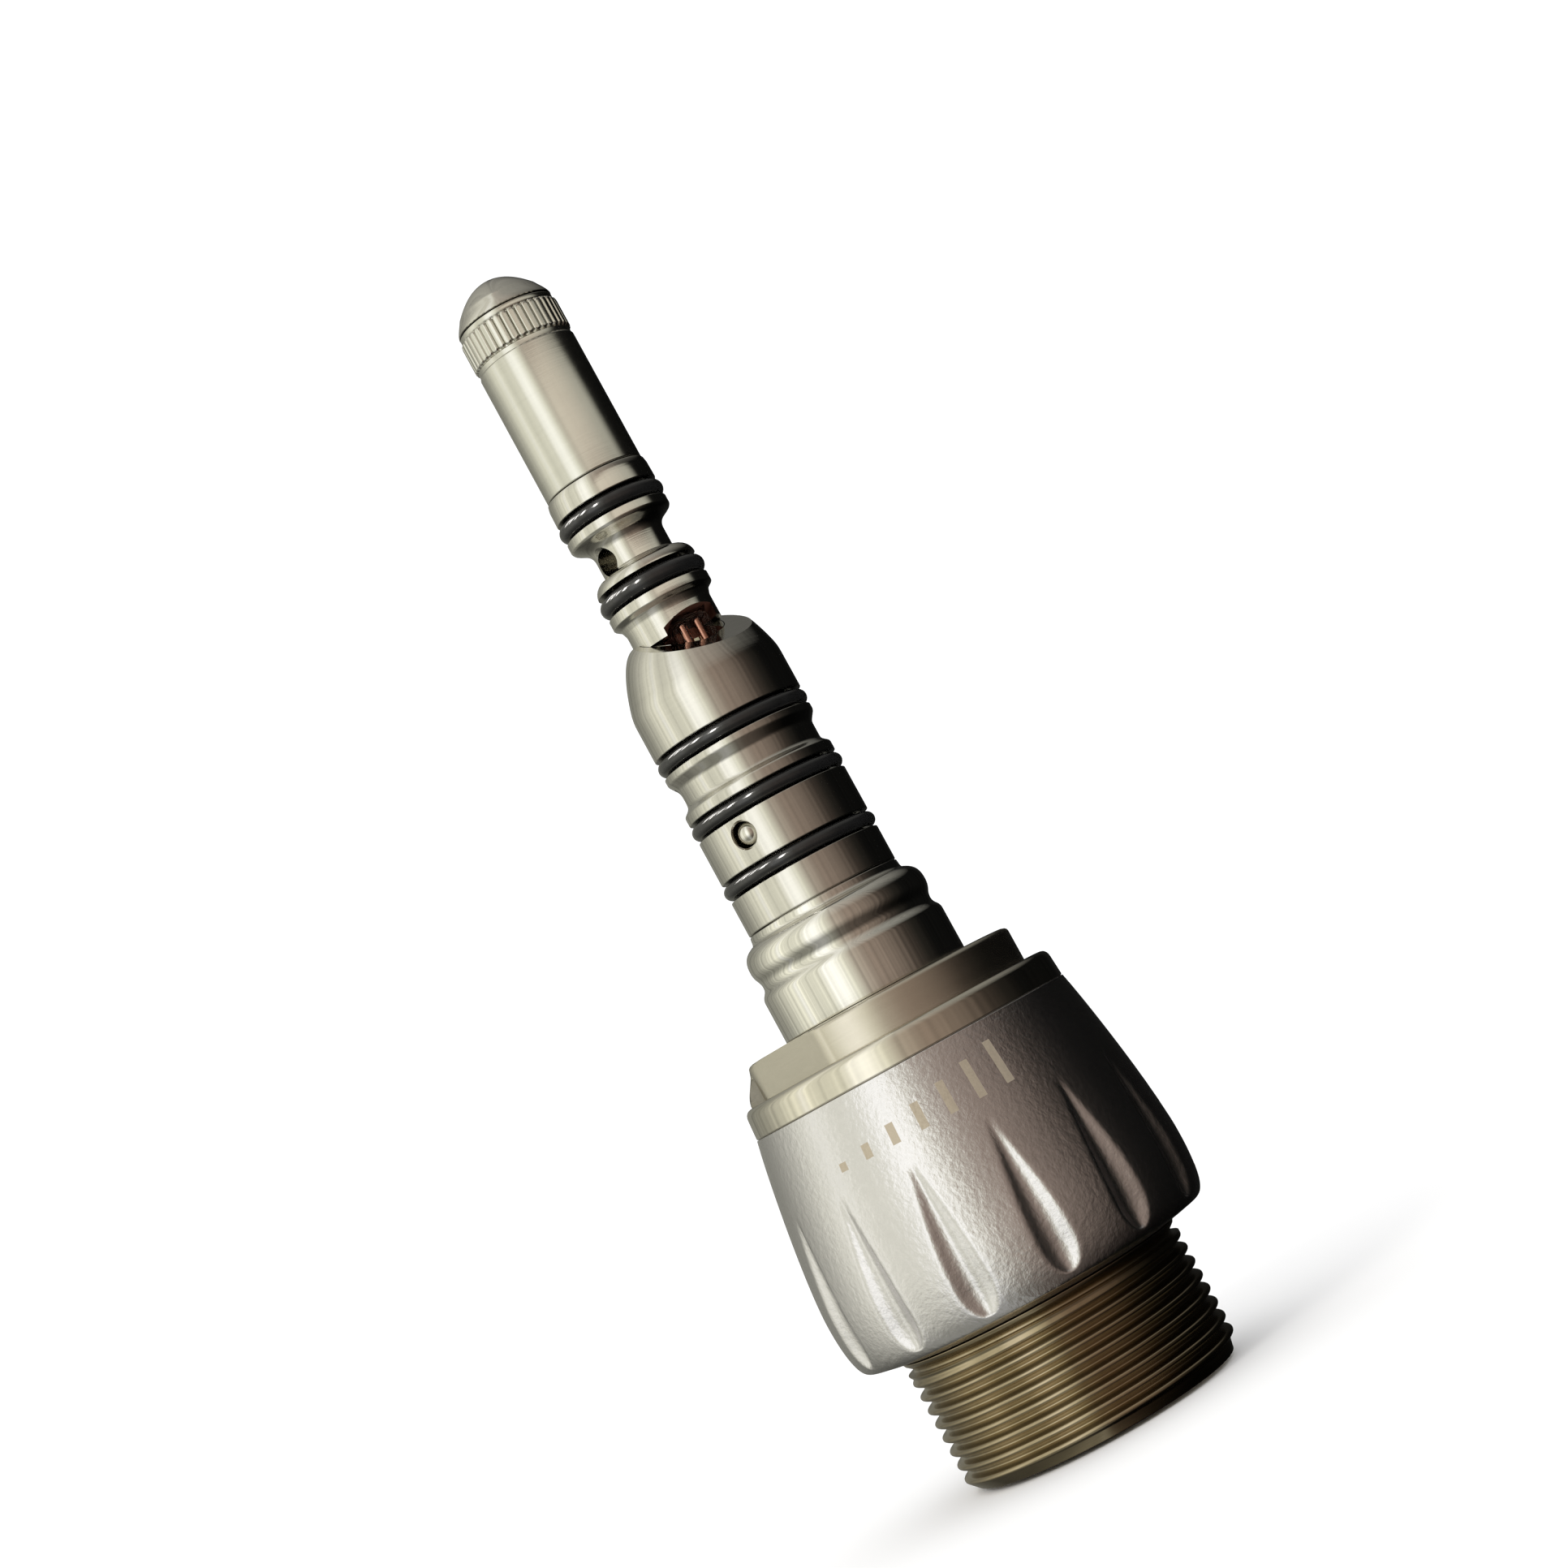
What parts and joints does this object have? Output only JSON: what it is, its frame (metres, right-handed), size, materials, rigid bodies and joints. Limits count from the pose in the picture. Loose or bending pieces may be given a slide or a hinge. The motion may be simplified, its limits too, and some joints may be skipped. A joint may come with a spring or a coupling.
{
  "type": "dental handpiece coupling",
  "caption": "Quick-release swivel coupling for a dental high speed handpiece: slim ported plug with O-rings and a lamp, detent collar, wrench nut, fluted regulator ring and hose thread.",
  "frame": {"origin": "centre of the rear (hose) end face", "axes": "+Z along the axis from the hose end to the nose; -Y is the side seen in the picture; +X to the right of it"},
  "size_m": [0.0196, 0.0198, 0.065],
  "materials": {
    "turned_steel": "turned stainless steel, fine lathe marks",
    "polished_steel": "polished stainless steel",
    "satin_grip": "bead-blasted satin with a fine pebbled grain",
    "plated_brass": "nickel-plated brass, warm",
    "black_rubber": "smooth, lightly greased",
    "lamp_clear": "clear lamp envelope",
    "copper": "bare copper",
    "lamp_board": "brown lacquered board",
    "led_die": "pale phosphor",
    "lamp_ceramic": "unglazed",
    "insert_plastic": "moulded",
    "contact_gold": "gold-plated",
    "wire_red": "wire insulation",
    "wire_black": "wire insulation"
  },
  "bodies": {
    "coupling": {"nose_cone": "turned_steel", "front_sleeve": "turned_steel", "stem": "turned_steel", "o_ring_front_1": "black_rubber", "o_ring_front_2": "black_rubber", "plug_body": "turned_steel", "o_ring_rear_1": "black_rubber", "o_ring_rear_2": "black_rubber", "o_ring_rear_3": "black_rubber", "port_ball": "polished_steel", "lamp_glass": "lamp_clear", "lamp_lead_1": "copper", "lamp_lead_2": "copper", "lamp_board": "lamp_board", "led_die": "led_die", "lamp_base": "lamp_ceramic", "lamp_socket": "insert_plastic", "feed_wire_1": "wire_red", "feed_wire_2": "wire_black", "contact_pin_1": "contact_gold", "contact_pin_2": "contact_gold", "detent_collar": "polished_steel", "wrench_nut": "turned_steel", "cover_ring": "turned_steel", "rear_body": "plated_brass", "grip_seal_1": "black_rubber", "grip_seal_2": "black_rubber", "connector_insert": "insert_plastic", "drive_air_tube": "polished_steel", "spray_air_tube": "polished_steel", "water_tube": "polished_steel", "valve_seat": "black_rubber", "valve_spring": "polished_steel"},
    "grip": {"grip_ring": "satin_grip"},
    "regulator": {"regulator_needle": "polished_steel", "follower_pin": "polished_steel"},
    "valve": {"valve_ball": "polished_steel"}
  },
  "joints": [
    {"name": "grip_turn", "type": "hinge", "parent": "coupling", "child": "grip", "pos_m": [0, 0, 0.0136], "axis": [0, 0, 1], "range_deg": [0, 120]},
    {"name": "regulator_lift", "type": "slide", "parent": "coupling", "child": "regulator", "axis": [0, 0, 1], "range_m": [0, 0.0015]},
    {"name": "valve_lift", "type": "slide", "parent": "coupling", "child": "valve", "axis": [0, 0, 1], "range_m": [0, 0.0006], "stiffness_N_per_m": 40, "springref_m": -0.001, "deforming": ["valve_spring"]}
  ],
  "couplings": [
    {"joint": "regulator_lift", "follows": "grip_turn", "m_per_rad": 0.0007162}
  ]
}
